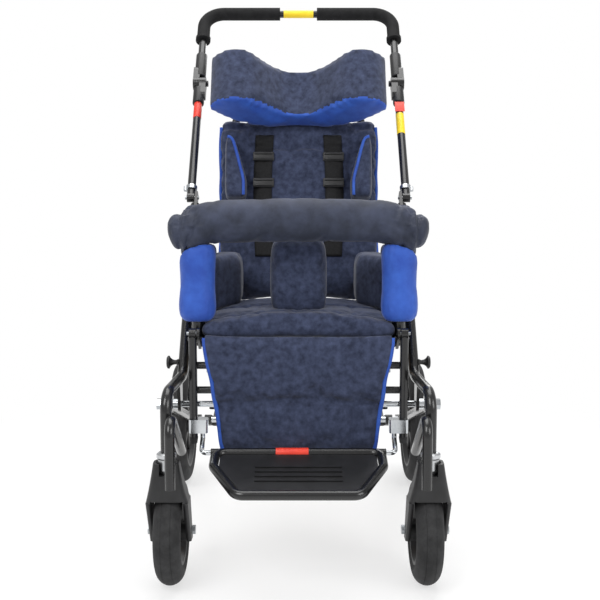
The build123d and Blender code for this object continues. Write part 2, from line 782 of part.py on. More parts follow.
# Hanger clamps: a block round each legrest tube that holds the footrest's bent rods
clamp_z = leg_tube_low_z + 10
foot_pin_y = foot_rear_y
foot_pin_z = foot_rear_z
footrest_hangers = []
for side, word in sides:
    with BuildPart() as clamp:
        with BuildSketch(Plane((side * leg_tube_x, legrest_pin_y, clamp_z))):
            with Locations((-side * (clamp_w / 2 - leg_tube_d / 2), -clamp_shift)):
                RectangleRounded(clamp_w, leg_tube_d + 10, 6)
            Circle(leg_tube_d / 2 + running_gap, mode=Mode.SUBTRACT)
        extrude(amount=clamp_h)
    rod_top = (side * hanger_x, legrest_pin_y + hanger_back, clamp_z + clamp_h - 4)
    rod_knee = (side * hanger_x, legrest_pin_y + hanger_back, clamp_z - 14)
    rod_low = (side * hanger_x, foot_pin_y, foot_pin_z)
    rod_end = (side * (foot_half_rear + foot_tube_d / 2 + seat_gap), foot_pin_y, foot_pin_z)
    rod = bent_tube((rod_top, rod_knee, rod_low, rod_end), 9, hanger_d)
    with BuildPart() as hanger:
        add(clamp.part)
        add(rod)
        with BuildSketch(side_plane(side * (foot_half_rear - foot_bore_len))):
            with Locations((foot_pin_y, foot_pin_z)):
                Circle(hinge_pin_d / 2)
        extrude(amount=side * (foot_bore_len + foot_tube_d / 2 + 2 * seat_gap))
    footrest_hangers.append(hanger.part)
finish_pair(footrest_hangers, "footrest_hangers")

# Footrest: a tube loop that narrows to the front, with bored pivots at its rear corners
slope = atan2(foot_rear_z - foot_front_z, foot_rear_y - foot_front_y)
foot_run = ((foot_rear_y - foot_front_y) ** 2 + (foot_rear_z - foot_front_z) ** 2) ** 0.5
foot_plane = Plane(origin=(0, foot_rear_y, foot_rear_z), x_dir=(1, 0, 0), z_dir=(0, -sin(slope), cos(slope)))
with BuildPart() as foot_loop:
    with BuildLine(foot_plane) as loop_line:
        FilletPolyline(
            (foot_half_rear, 0),
            (foot_half_rear, -foot_run * 0.35),
            (foot_half_front, -foot_run),
            (-foot_half_front, -foot_run),
            (-foot_half_rear, -foot_run * 0.35),
            (-foot_half_rear, 0),
            radius=foot_corner_r,
            close=True,
        )
    with BuildSketch(Plane(origin=loop_line.line @ 0, z_dir=loop_line.line % 0)):
        Circle(foot_tube_d / 2)
    sweep(path=loop_line.line)
    for side, word in sides:
        with BuildSketch(side_plane(side * (foot_half_rear - foot_bore_len - 8))):
            with Locations((foot_pin_y, foot_pin_z)):
                Circle(foot_tube_d / 2 - 1)
        extrude(amount=side * (foot_bore_len + 8 + foot_tube_d / 2))
    for side, word in sides:
        with BuildSketch(side_plane(side * (foot_half_rear - foot_bore_len - seat_gap))):
            with Locations((foot_pin_y, foot_pin_z)):
                Circle(hinge_pin_d / 2 + running_gap)
        extrude(amount=side * 2 * foot_bore_len, mode=Mode.SUBTRACT)
finish(foot_loop.part, "foot_loop")

# Foot plate: a ribbed tray that fills the loop
plate_in = foot_tube_d / 2 + 1
with BuildPart() as foot_plate:
    with BuildSketch(foot_plane.offset(-foot_plate_t / 2)):
        with BuildLine():
            FilletPolyline(
                (foot_half_rear - plate_in, -plate_in),
                (foot_half_rear - plate_in, -foot_run * 0.35),
                (foot_half_front - plate_in * 0.75, -foot_run + plate_in),
                (-foot_half_front + plate_in * 0.75, -foot_run + plate_in),
                (-foot_half_rear + plate_in, -foot_run * 0.35),
                (-foot_half_rear + plate_in, -plate_in),
                radius=foot_corner_r - plate_in,
                close=True,
            )
        make_face()
    extrude(amount=foot_plate_t)
    with BuildSketch(foot_plane.offset(foot_plate_t / 2)):
        with Locations((0, -foot_run * 0.54)):
            with GridLocations(0, 16, 1, 4):
                SlotOverall(2 * foot_half_front - 60, 6)
    extrude(amount=2.5)
finish(foot_plate.part, "foot_plate")

# Backrest frame: an arched tube with flat eyes on the hinge pins, and a guide for the headrest stalk
back_foot = [on_back(side * back_tube_x, 12) for side, word in sides]
back_head = [on_back(side * back_tube_x, back_top) for side, word in sides]
back_arch = bent_tube((back_foot[0], back_head[0], back_head[1], back_foot[1]), 60, back_tube_d)
back_bar = straight_bar(on_back(-back_tube_x, 250), on_back(back_tube_x, 250), back_tube_d - 4)
with BuildPart() as back_frame:
    add(back_arch)
    add(back_bar)
    for side, word in sides:
        with BuildSketch(side_plane(side * (back_eye_x - back_bracket_t))):
            link((back_pin_y, back_pin_z), on_back(0, 46)[1:], back_tube_d / 2)
            with Locations((back_pin_y, back_pin_z)):
                Circle(hinge_pin_d / 2 + running_gap, mode=Mode.SUBTRACT)
        extrude(amount=side * back_bracket_t)
        with BuildSketch(side_plane(side * (back_tube_x - 4))):
            link(on_back(0, 22)[1:], on_back(0, 42)[1:], 6)
        extrude(amount=side * (back_eye_x - back_tube_x + 4 - 1))
finish(back_frame.part, "back_frame")

# Guide on the arch that the headrest's stalk slides in
guide_depth = stalk_t + 2 * guide_wall
guide_forward = -back_tube_d / 2 - guide_depth / 2 - seat_gap
with BuildPart() as stalk_guide:
    with BuildSketch(back_section(back_top - 130)):
        with Locations((0, guide_forward)):
            RectangleRounded(stalk_w + 2 * guide_wall, guide_depth, 4)
            Rectangle(stalk_w + 2 * slide_gap, stalk_t + 2 * slide_gap, mode=Mode.SUBTRACT)
    extrude(amount=120 + back_tube_d)
finish(stalk_guide.part, "stalk_guide")

neck_end = headrest_back - (neck_up - headrest_low + stalk_t) * tan(radians(headrest_lean - back_lean)) - seat_gap
with BuildPart() as headrest_stalk:
    with BuildSketch(back_section(neck_up + 12 - stalk_len)):
        with Locations((0, guide_forward)):
            RectangleRounded(stalk_w, stalk_t, 3)
    extrude(amount=stalk_len)
    neck_start = on_back(0, neck_up, guide_forward)
    with BuildSketch(Plane(origin=neck_start, z_dir=(0, -cos(lean), sin(lean)))):
        Circle(stalk_t)
    extrude(amount=neck_end - guide_forward)
finish(headrest_stalk.part, "headrest_stalk")

# Push tubes: an eye on the fold pin at the foot and half of the tilting hub at the head
hub_gap = seat_gap / 2
hub_neck = handle_hub_d / 2 + 8
push_tubes = []
for side, word in sides:
    tube = straight_bar(
        on_main(side * handle_x, 0), on_main(side * handle_x, handle_len - handle_hub_d / 2 - 2), handle_tube_d
    )
    with BuildPart() as push_tube:
        add(tube)
        with BuildSketch(side_plane(side * handle_x)):
            with Locations((fold_y, fold_z)):
                Circle(handle_tube_d / 2 + 1)
        extrude(amount=handle_tube_d / 2 - 1, both=True)
        with BuildSketch(side_plane(side * (handle_x - hub_gap))):
            with Locations(on_main(0, handle_len)[1:]):
                Circle(handle_hub_d / 2)
            link(on_main(0, handle_len)[1:], on_main(0, handle_len - hub_neck - 14)[1:], handle_sleeve_d / 2)
        extrude(amount=-side * handle_hub_w)
        with BuildSketch(side_plane(side * handle_x)):
            with Locations((fold_y, fold_z)):
                Circle(pivot_pin_d / 2 + running_gap)
        extrude(amount=handle_tube_d, both=True, mode=Mode.SUBTRACT)
        with BuildSketch(side_plane(side * (handle_x - hub_gap - handle_hub_w))):
            with Locations(on_main(0, handle_len)[1:]):
                Circle(button_d / 2 + slide_gap)
        extrude(amount=side * 2 * (button_travel + slide_gap), mode=Mode.SUBTRACT)
    push_tubes.append(push_tube.part)

    with BuildPart() as button:
        with BuildSketch(side_plane(side * (handle_x - hub_gap - handle_hub_w - button_travel - 1))):
            with Locations(on_main(0, handle_len)[1:]):
                Circle(button_d / 2)
        extrude(amount=side * (2 * button_travel + 1))
    finish(button.part, f"tilt_button_{word}")

    ring_plane = Plane(origin=on_main(side * handle_x, ring_along), x_dir=(1, 0, 0), z_dir=(0, main_y, main_z))
    ring_r = handle_tube_d / 2 + slide_gap + ring_wall
    with BuildPart() as lock_ring:
        with BuildSketch(ring_plane):
            Circle(ring_r)
            with Locations((side * ring_r, 0)):
                RectangleRounded(9, 8, 3)
            Circle(ring_r - ring_wall, mode=Mode.SUBTRACT)
        extrude(amount=ring_w)
    finish(lock_ring.part, f"lock_ring_{word}")
finish_pair(push_tubes, "push_tubes")

# Handlebar: a bent tube between the outer halves of the two hubs
bar_low = handle_len + handle_hub_d / 2 + 2
bar_high = handle_len + handle_bar_len
bar_path = [
    on_main(handle_x, bar_low),
    on_main(handle_x, bar_high),
    on_main(-handle_x, bar_high),
    on_main(-handle_x, bar_low),
]
bar_tube = bent_tube(bar_path, handle_corner_r, handle_tube_d)
with BuildPart() as handlebar:
    add(bar_tube)
    for side, word in sides:
        with BuildSketch(side_plane(side * (handle_x + hub_gap))):
            with Locations(on_main(0, handle_len)[1:]):
                Circle(handle_hub_d / 2)
            link(on_main(0, handle_len)[1:], on_main(0, handle_len + hub_neck + 14)[1:], handle_sleeve_d / 2)
        extrude(amount=side * handle_hub_w)
finish(handlebar.part, "handlebar")

# Foam grips round the handlebar's corners, with a bead at each end
grip_low = bar_high - 92
hand_grips = []
for side, word in sides:
    grip_path = [
        on_main(side * handle_x, grip_low),
        on_main(side * handle_x, bar_high),
        on_main(side * grip_gap, bar_high),
    ]
    outer = bent_tube(grip_path, handle_corner_r, grip_d)
    bead = straight_bar(on_main(side * handle_x, grip_low - 4), on_main(side * handle_x, grip_low + 5), grip_d + 5)
    with BuildPart() as grip:
        add(outer)
        add(bead)
        add(bent_tube(bar_path, handle_corner_r, handle_tube_d + 2 * weld_gap), mode=Mode.SUBTRACT)
    hand_grips.append(grip.part)
finish_pair(hand_grips, "hand_grips")

# Bumper bar: a bent tube that plugs into the sockets of the seat frame
post_foot_z = socket_top_z - socket_depth + 2
bumper_path = [
    (post_x, post_y, post_foot_z),
    (post_x, post_y, bumper_z),
    (-post_x, post_y, bumper_z),
    (-post_x, post_y, post_foot_z),
]
bumper_tube = bent_tube(bumper_path, bumper_bend_r, post_d)
bumper_room = bent_tube(bumper_path, bumper_bend_r, post_d + 2 * weld_gap)
finish(bumper_tube, "bumper_tube")

# Bolster on the bumper bar: a stuffed roll whose ends droop past the posts
bolster_line = [
    (bolster_end_half, post_y, bumper_z - bolster_end_drop),
    (bolster_flat_half, post_y, bumper_z),
    (-bolster_flat_half, post_y, bumper_z),
    (-bolster_end_half, post_y, bumper_z - bolster_end_drop),
]
bolster_roll = bent_tube(bolster_line, 110, bolster_d)
with BuildPart() as bolster:
    add(bolster_roll)
    fillet(bolster.edges().filter_by(GeomType.CIRCLE).group_by(Axis.X)[0], 0.36 * bolster_d)
    fillet(bolster.edges().filter_by(GeomType.CIRCLE).group_by(Axis.X)[-1], 0.36 * bolster_d)
    add(bumper_room, mode=Mode.SUBTRACT)
finish(bolster.part, "bumper_bolster")

# Padded sleeves on the two posts
sleeve_high_z = bumper_z - bolster_end_drop - 8
roll_room = bent_tube(bolster_line, 110, bolster_d + 2 * seat_gap)
post_sleeves = []
for side, word in sides:
    sleeve_sizes = (
        (sleeve_low_z, sleeve_w - 14, sleeve_depth - 14),
        (sleeve_low_z + 12, sleeve_w, sleeve_depth),
        ((sleeve_low_z + sleeve_high_z) / 2, sleeve_w - 3, sleeve_depth - 2),
        (sleeve_high_z - 12, sleeve_w - 2, sleeve_depth),
        (sleeve_high_z, sleeve_w - 16, sleeve_depth - 14),
    )
    with BuildPart() as sleeve:
        for height, width, depth in sleeve_sizes:
            with BuildSketch(Plane((side * post_x, post_y, height))):
                RectangleRounded(width, depth, 0.38 * depth)
        loft()
        add(roll_room, mode=Mode.SUBTRACT)
        add(bumper_room, mode=Mode.SUBTRACT)
    post_sleeves.append(sleeve.part)
finish_pair(post_sleeves, "post_sleeves")

# Cross bars behind the calf pad tie the two legrest tubes together
with BuildPart() as legrest_bars:
    for drop in leg_bar_drops:
        with BuildSketch(side_plane(-leg_tube_x)):
            with Locations((legrest_pin_y + (leg_tube_d + leg_bar_d) / 2, legrest_pin_z - drop)):
                Circle(leg_bar_d / 2)
        extrude(amount=2 * leg_tube_x)
finish(legrest_bars.part, "legrest_bars")

# Calf pad: a padded apron that narrows towards the feet, with a seam across it
calf_back_y = legrest_pin_y + leg_tube_d / 2 - seat_gap
calf_rows = (
    (calf_pad_top_z, 0.985, 0.1, 0.5),
    (calf_pad_top_z - 4, 0.995, 0.02, 0.62),
    (calf_pad_top_z - 16, 1.0, 0.0, 0.95),
    (0.5 * (calf_pad_top_z + calf_seam_z), 1.0, 0.0, 1.0),
    (calf_seam_z + 8, 0.995, 0.06, 1.0),
    (calf_seam_z, 0.985, 0.26, 1.0),
    (calf_seam_z - 8, 0.995, 0.06, 1.0),
    (0.5 * (calf_pad_low_z + calf_seam_z), 1.0, 0.0, 1.0),
    (calf_pad_low_z + 10, 1.0, 0.12, 0.97),
    (calf_pad_low_z, 0.97, 0.4, 0.85),
)
with BuildPart() as calf_pad:
    for height, across, front, back in calf_rows:
        share = (height - calf_pad_low_z) / (calf_pad_top_z - calf_pad_low_z)
        half = across * (calf_pad_low_half + share * (calf_pad_top_half - calf_pad_low_half))
        depth = (back - front) * calf_pad_t
        middle = calf_back_y - calf_pad_t * (1 - (front + back) / 2)
        with BuildSketch(Plane((0, middle, height))):
            RectangleRounded(2 * half, depth, 0.42 * depth)
    loft(ruled=True)
finish(calf_pad.part, "calf_pad")

# Seat cushion: a crowned pad with a rolled front edge over the board
board_top_z = board_low_z + seat_board_t + seat_gap
cushion_front_y = legrest_pin_y + 4
cushion_back_y = seat_back_y - 46
cushion_rows = (
    (cushion_front_y, 0.95, 0.5),
    (cushion_front_y + 8, 0.99, 0.84),
    (cushion_front_y + 26, 1.0, 1.0),
    (cushion_front_y + 52, 1.0, 1.0),
    (cushion_back_y - 40, 1.0, 1.0),
    (cushion_back_y - 10, 0.99, 0.9),
    (cushion_back_y, 0.97, 0.6),
)
with BuildPart() as seat_cushion:
    for reach, across, high in cushion_rows:
        half = across * cushion_half
        edge = high * (cushion_t - cushion_crown)
        crown = high * (cushion_t + cushion_crown)
        draw_in = 6 * high
        row = Plane(origin=(0, reach, board_top_z), x_dir=(1, 0, 0), z_dir=(0, -1, 0))
        with BuildSketch(row):
            with BuildLine():
                Line((-half + draw_in, 0), (half - draw_in, 0))
                ThreePointArc((half - draw_in, 0), (half, edge / 2), (half - draw_in, edge))
                ThreePointArc((half - draw_in, edge), (0, crown), (-half + draw_in, edge))
                ThreePointArc((-half + draw_in, edge), (-half, edge / 2), (-half + draw_in, 0))
            make_face()
    loft(ruled=True)
finish(seat_cushion.part, "seat_cushion")

# Pommel: a stuffed block between the thighs, on the seat cushion
pommel_low_z = board_top_z + cushion_t + cushion_crown + seat_gap
pommel_rows = ((0.0, 0.86), (0.08, 0.97), (0.3, 1.0), (0.7, 0.99), (0.92, 0.95), (1.0, 0.82))
with BuildPart() as pommel:
    for share, wide in pommel_rows:
        with BuildSketch(Plane((0, pommel_front_y + pommel_depth / 2, pommel_low_z + share * pommel_h))):
            RectangleRounded(wide * pommel_w, wide * pommel_depth, 0.3 * wide * pommel_depth)
    loft(ruled=True)
finish(pommel.part, "pommel")

# Side panels beside the seat cushion
panel_plane_x = cushion_half + seat_gap
panel_front_y = post_y + sleeve_depth / 2 + 8
panel_back_y = seat_back_y - 8
side_panels = []
for side, word in sides:
    with BuildPart() as side_panel:
        with BuildSketch(side_plane(side * panel_plane_x)):
            with BuildLine():
                FilletPolyline(
                    (panel_front_y, panel_low_z),
                    (panel_back_y, panel_low_z),
                    (panel_back_y, panel_high_z),
                    (panel_front_y + 90, panel_high_z - 30),
                    (panel_front_y, panel_high_z - 70),
                    radius=20,
                    close=True,
                )
            make_face()
        extrude(amount=side * panel_t)
        fillet(side_panel.faces().sort_by(Axis.X)[0].edges(), 0.35 * panel_t)
        fillet(side_panel.faces().sort_by(Axis.X)[-1].edges(), 0.35 * panel_t)
    side_panels.append(side_panel.part)
finish_pair(side_panels, "side_panels")

# Hip pads: wedges that stand on the cushion against the side panels
hip_low_z = board_top_z + cushion_t + seat_gap
hip_rows = ((0.0, 0.9), (0.1, 0.98), (0.3, 1.0), (0.75, 1.0), (0.93, 0.95), (1.0, 0.84))
hip_pads = []
for side, word in sides:
    with BuildPart() as hip_pad:
        for share, size in hip_rows:
            shrink = (1 - size) * hip_t
            inner = panel_plane_x - hip_t + shrink
            outer = panel_plane_x - seat_gap
            with BuildSketch(Plane((0, 0, hip_low_z + share * hip_h))):
                with BuildLine():
                    FilletPolyline(
                        (side * outer, hip_front_y + shrink),
                        (side * outer, hip_back_y - shrink),
                        (side * inner, hip_back_y - shrink),
                        (side * inner, hip_front_y + 70),
                        (side * (outer - 14), hip_front_y + shrink),
                        radius=5,
                        close=True,
                    )
                make_face()
        loft(ruled=True)
    hip_pads.append(hip_pad.part)
finish_pair(hip_pads, "hip_pads")

# Arm pads wrapped round the main tubes
arm_pads = []
for side, word in sides:
    low = on_main(side * frame_x, arm_pad_low)
    high = on_main(side * frame_x, arm_pad_high)
    pad = straight_bar(low, high, arm_pad_d)
    core = straight_bar(on_main(side * frame_x, arm_pad_low - 5), on_main(side * frame_x, arm_pad_high + 5), main_tube_d + 2 * weld_gap)
    with BuildPart() as arm_pad:
        add(pad)
        fillet(arm_pad.edges().filter_by(GeomType.CIRCLE), 0.2 * arm_pad_d)
        add(core, mode=Mode.SUBTRACT)
    arm_pads.append(arm_pad.part)
finish_pair(arm_pads, "arm_pads")

# Back cushion on the backrest tubes
back_rest = back_tube_d / 2 + seat_gap
back_rows = (
    (back_pad_low, 0.96, 0.55),
    (back_pad_low + 12, 0.99, 0.88),
    (back_pad_low + 36, 1.0, 1.0),
    (back_pad_high - 40, 1.0, 1.0),
    (back_pad_high - 12, 0.985, 0.88),
    (back_pad_high, 0.95, 0.55),
)
with BuildPart() as back_cushion:
    for up, across, deep in back_rows:
        depth = deep * back_pad_t
        with BuildSketch(back_section(up)):
            with Locations((0, back_rest + depth / 2)):
                RectangleRounded(2 * across * back_pad_half, depth, 0.4 * depth)
    loft(ruled=True)
finish(back_cushion.part, "back_cushion")

# Lateral wings that hold the trunk, on the front of the back cushion
wing_front = back_rest + back_pad_t + seat_gap
wing_plane = Plane(origin=on_back(0, 0, wing_front), x_dir=(1, 0, 0), z_dir=(0, -cos(lean), sin(lean)))
with BuildPart() as back_wing:
    with BuildSketch(wing_plane):
        with BuildLine():
            FilletPolyline(
                (wing_outer - 20, wing_high - 6),
                (wing_inner, wing_low + 42),
                (wing_inner, wing_low),
                (wing_outer, wing_low),
                (wing_outer, wing_high),
                radius=8,
                close=True,
            )
        make_face()
    extrude(amount=wing_depth, taper=6)
    fillet(back_wing.faces().sort_by(Axis.Y)[0].edges(), 6)
back_wings = [back_wing.part, mirror(back_wing.part, about=Plane.YZ)]
finish_pair(back_wings, "back_wings")

# Harness: two shoulder straps with ladder adjusters
harness_straps = []
for side, word in sides:
    with BuildPart() as strap:
        with BuildSketch(wing_plane):
            with Locations((side * strap_x, (strap_low + strap_high) / 2)):
                RectangleRounded(strap_w, strap_high - strap_low, 2)
        extrude(amount=strap_t)
        for up in buckle_ups:
            with BuildSketch(wing_plane.offset(strap_t)):
                with Locations((side * strap_x, up)):
                    RectangleRounded(strap_w + 8, buckle_h, 5)
                    with GridLocations(0, 14, 1, 2):
                        Rectangle(strap_w - 6, 5, mode=Mode.SUBTRACT)
            extrude(amount=buckle_t)
    harness_straps.append(strap.part)
finish_pair(harness_straps, "harness_straps")

# Headrest: a cradle with two forward lobes, tilted back from the backrest's slope
head_lean = radians(headrest_lean)
head_foot = Plane(
    origin=on_back(0, headrest_low, headrest_back), x_dir=(-1, 0, 0), z_dir=(0, sin(head_lean), cos(head_lean))
)
with BuildPart() as headrest:
    with BuildSketch(head_foot):
        with BuildLine():
            ThreePointArc((-50, headrest_waist + 21), (0, headrest_waist), (50, headrest_waist + 21))
            for side, word in sides:
                Line((side * 50, headrest_waist + 21), (side * 92, headrest_lobe - 23))
                ThreePointArc(
                    (side * 92, headrest_lobe - 23), (side * 140, headrest_lobe), (side * 186, headrest_lobe - 24)
                )
                ThreePointArc(
                    (side * 186, headrest_lobe - 24),
                    (side * headrest_half, headrest_lobe - 40),
                    (side * 182, headrest_lobe - 56),
                )
                ThreePointArc((side * 182, headrest_lobe - 56), (side * 120, 18), (0, 0))
        make_face()
    extrude(amount=headrest_h)
finish(headrest.part, "headrest")
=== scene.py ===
"""Looks of the special needs stroller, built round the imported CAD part, in metres and in the same frame."""

import json
import math

import bmesh
import bpy
import numpy as np
from mathutils import Euler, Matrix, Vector
from mathutils.bvhtree import BVHTree


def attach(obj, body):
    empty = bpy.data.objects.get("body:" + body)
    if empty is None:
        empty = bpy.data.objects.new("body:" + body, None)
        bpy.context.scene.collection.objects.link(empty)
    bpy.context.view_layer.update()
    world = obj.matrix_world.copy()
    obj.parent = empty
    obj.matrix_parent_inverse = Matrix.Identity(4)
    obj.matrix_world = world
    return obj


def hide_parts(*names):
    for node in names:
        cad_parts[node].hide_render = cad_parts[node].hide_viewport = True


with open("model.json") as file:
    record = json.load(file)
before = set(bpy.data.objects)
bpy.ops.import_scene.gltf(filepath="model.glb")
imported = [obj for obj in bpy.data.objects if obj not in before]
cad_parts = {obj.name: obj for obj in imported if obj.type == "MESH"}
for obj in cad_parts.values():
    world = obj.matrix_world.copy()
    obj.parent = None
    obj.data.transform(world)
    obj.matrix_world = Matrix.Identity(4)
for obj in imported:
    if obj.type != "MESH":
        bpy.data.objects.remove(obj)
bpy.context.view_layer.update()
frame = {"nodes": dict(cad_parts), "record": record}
nodes = frame["nodes"]
scene = bpy.context.scene

# Places shared with the CAD part
FRONT_AXLE_Y = -0.338
BACK_PIN = Vector((0, FRONT_AXLE_Y + 0.474, 0.446))
LEAN = math.radians(14)
BACK_UP = Vector((0, math.sin(LEAN), math.cos(LEAN)))
BACK_FORWARD = Vector((0, -math.cos(LEAN), math.sin(LEAN)))
FOLD = Vector((0, FRONT_AXLE_Y + 0.364, 0.710))
MAIN = Vector((0, 0.276, 0.336)).normalized()
HEAD_LEAN = math.radians(27)
HEAD_UP = Vector((0, math.sin(HEAD_LEAN), math.cos(HEAD_LEAN)))
FOOT_BAR = Vector((0, FRONT_AXLE_Y + 0.05, 0.232))


def on_back(x, up, forward):
    """A point on the backrest."""
    return BACK_PIN + Vector((x, 0, 0)) + BACK_UP * up + BACK_FORWARD * forward


def on_main(x, along):
    """A point on the line of the main and push tubes."""
    return FOLD + Vector((x, 0, 0)) + MAIN * along


def linear(code):
    """An sRGB hex colour as linear RGBA."""
    parts = [int(code[i : i + 2], 16) / 255 for i in (1, 3, 5)]
    return tuple(c / 12.92 if c <= 0.04045 else ((c + 0.055) / 1.055) ** 2.4 for c in parts) + (1.0,)


def put(tree, kind, inputs=None, **props):
    """Adds a node, sets its properties and fills or links its sockets."""
    made = tree.nodes.new(kind)
    for key, value in props.items():
        setattr(made, key, value)
    for key, value in (inputs or {}).items():
        if isinstance(value, bpy.types.NodeSocket):
            tree.links.new(value, made.inputs[key])
        else:
            made.inputs[key].default_value = value
    return made


def surface(name, dark, light, rough, metal=0.0, blotch=30.0, grain=600.0, bump=0.1, depth=0.0004, coat=0.0,
            sheen=0.0, rough_range=0.08, contrast=(0.35, 0.65), stretch=(1, 1, 1), specular=0.5):
    """A surface whose colour drifts between two tones, with a fine grain in its relief and gloss."""
    mat = bpy.data.materials.new(name)
    mat.use_nodes = True
    tree = mat.node_tree
    tree.nodes.clear()
    place = put(tree, "ShaderNodeTexCoord").outputs["Object"]
    spread = put(tree, "ShaderNodeMapping", {"Vector": place, "Scale": stretch}).outputs["Vector"]
    cloud = put(tree, "ShaderNodeTexNoise", {"Vector": place, "Scale": blotch, "Detail": 6.0, "Roughness": 0.62})
    ramp = put(tree, "ShaderNodeValToRGB", {"Fac": cloud.outputs["Fac"]})
    ramp.color_ramp.elements[0].position = contrast[0]
    ramp.color_ramp.elements[0].color = linear(dark)
    ramp.color_ramp.elements[1].position = contrast[1]
    ramp.color_ramp.elements[1].color = linear(light)
    fine = put(tree, "ShaderNodeTexNoise", {"Vector": spread, "Scale": grain, "Detail": 3.0})
    gloss = put(tree, "ShaderNodeMapRange", {
        "Value": fine.outputs["Fac"], "To Min": max(0.02, rough - rough_range), "To Max": min(1.0, rough + rough_range)})
    relief = put(tree, "ShaderNodeBump", {"Height": fine.outputs["Fac"], "Strength": bump, "Distance": depth})
    shader = put(tree, "ShaderNodeBsdfPrincipled", {
        "Base Color": ramp.outputs["Color"], "Roughness": gloss.outputs["Result"], "Metallic": metal,
        "Normal": relief.outputs["Normal"], "Coat Weight": coat, "Coat Roughness": 0.12,
        "Sheen Weight": sheen, "Sheen Roughness": 0.45, "Specular IOR Level": specular})
    put(tree, "ShaderNodeOutputMaterial", {"Surface": shader.outputs["BSDF"]})
    return mat


# Brushed pile cloth with a faint crackle print, as on the pads
NAVY = surface("navy_velour", "#242a3d", "#424a64", 0.88, blotch=75, grain=1400, bump=0.35, sheen=0.2,
               contrast=(0.32, 0.72), rough_range=0.06, specular=0.2)
# Smooth navy shell cloth of the bolster and the padded edges
SHELL = surface("navy_shell", "#252a38", "#373d50", 0.66, blotch=25, grain=2200, bump=0.2, sheen=0.1, specular=0.3)
# Bright blue woven cloth
BLUE = surface("blue_cloth", "#2247a0", "#2f5ab6", 0.6, blotch=25, grain=1800, bump=0.2, sheen=0.15, specular=0.35)
# Polyester webbing
WEB = surface("webbing", "#0b0b0c", "#18181a", 0.75, blotch=200, grain=900, bump=0.5, stretch=(3, 0.4, 0.4), specular=0.3)
# Gloss black powder coat on steel tube
PAINT = surface("black_paint", "#0b0b0c", "#131314", 0.27, blotch=12, grain=900, bump=0.06, coat=0.35)
# Moulded black nylon
NYLON = surface("black_nylon", "#131314", "#1d1d1f", 0.48, blotch=40, grain=1600, bump=0.12)
# Solid rubber tyres, a little dusty
TYRE = surface("tyre_rubber", "#202021", "#323233", 0.78, blotch=45, grain=700, bump=0.25, specular=0.35)
# Closed-cell foam on the handlebar
FOAM = surface("grip_foam", "#0e0e0f", "#1a1a1b", 0.85, blotch=60, grain=800, bump=0.5, depth=0.0006, specular=0.3)
# Polished chrome plate
CHROME = surface("chrome_plate", "#b9bdc1", "#dadde0", 0.14, metal=1.0, blotch=15, grain=500, bump=0.02, rough_range=0.05)
# Cast and satin-finished aluminium
SILVER = surface("cast_aluminium", "#b4b6b8", "#d2d4d6", 0.34, metal=1.0, blotch=40, grain=900, bump=0.1)
# Zinc-plated pins and bolts
ZINC = surface("zinc_plate", "#8f9396", "#b8bcbf", 0.3, metal=1.0, blotch=80, grain=900, bump=0.06)
# Plywood seat board
PLY = surface("plywood", "#8a6b42", "#b08d5c", 0.6, blotch=14, grain=300, bump=0.15, stretch=(1, 0.1, 1))
# Plain vinyl bands, and white nylon for the caps on the footrest's bolts, which no part is given
RED = surface("red_vinyl", "#d83222", "#ee4630", 0.42, blotch=20, grain=700, bump=0.04)
YELLOW = surface("yellow_vinyl", "#e9c517", "#f6d52c", 0.42, blotch=20, grain=700, bump=0.04)
WHITE = surface("white_nylon", "#d9d9d6", "#efefec", 0.4, blotch=20, grain=700, bump=0.05)

SLOT_LOOK = {
    "frame_black": PAINT, "chrome": CHROME, "caster_silver": SILVER, "tyre_black": TYRE, "moulded_black": NYLON,
    "grip_foam": FOAM, "cap_rubber": TYRE, "navy_velour": NAVY, "blue_sleeve": BLUE, "strap_web": WEB,
    "steel_pin": ZINC, "board": PLY,
}
node_slot = {row["node"]: row["material_slot"] for row in frame["record"]["subparts"]}
for name, obj in nodes.items():
    obj.data.materials.clear()
    obj.data.materials.append(SLOT_LOOK[node_slot[name]])


def keep(name, mesh, mat, body):
    """Puts a finished mesh in the scene and fastens it to a CAD body."""
    obj = bpy.data.objects.new(name, mesh)
    scene.collection.objects.link(obj)
    for one in mat if isinstance(mat, (list, tuple)) else (mat,):
        mesh.materials.append(one)
    mesh.polygons.foreach_set("use_smooth", [True] * len(mesh.polygons))
    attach(obj, body)
    return obj


def mesh_of(verts, faces, name):
    """A mesh from points and faces, with its normals turned outward."""
    mesh = bpy.data.meshes.new(name)
    mesh.from_pydata([tuple(v) for v in verts], [], faces)
    bm = bmesh.new()
    bm.from_mesh(mesh)
    bmesh.ops.recalc_face_normals(bm, faces=bm.faces)
    bm.to_mesh(mesh)
    bm.free()
    return mesh


def smooth_line(points, count):
    """Evenly spaced points on a curve through the given ones."""
    pts = np.array([tuple(p) for p in points], float)
    if len(pts) > 2:
        ends = np.vstack([2 * pts[0] - pts[1], pts, 2 * pts[-1] - pts[-2]])
        fine = []
        for i in range(1, len(ends) - 2):
            a, b, c, d = ends[i - 1 : i + 3]
            for t in np.linspace(0, 1, 24, endpoint=False):
                fine.append(0.5 * (2 * b + (c - a) * t + (2 * a - 5 * b + 4 * c - d) * t**2 + (3 * b - a - 3 * c + d) * t**3))
        fine.append(pts[-1])
        pts = np.array(fine)
    far = np.concatenate([[0], np.cumsum(np.linalg.norm(np.diff(pts, axis=0), axis=1))])
    at = np.linspace(0, far[-1], count)
    return np.stack([np.interp(at, far, pts[:, k]) for k in range(3)], axis=1)


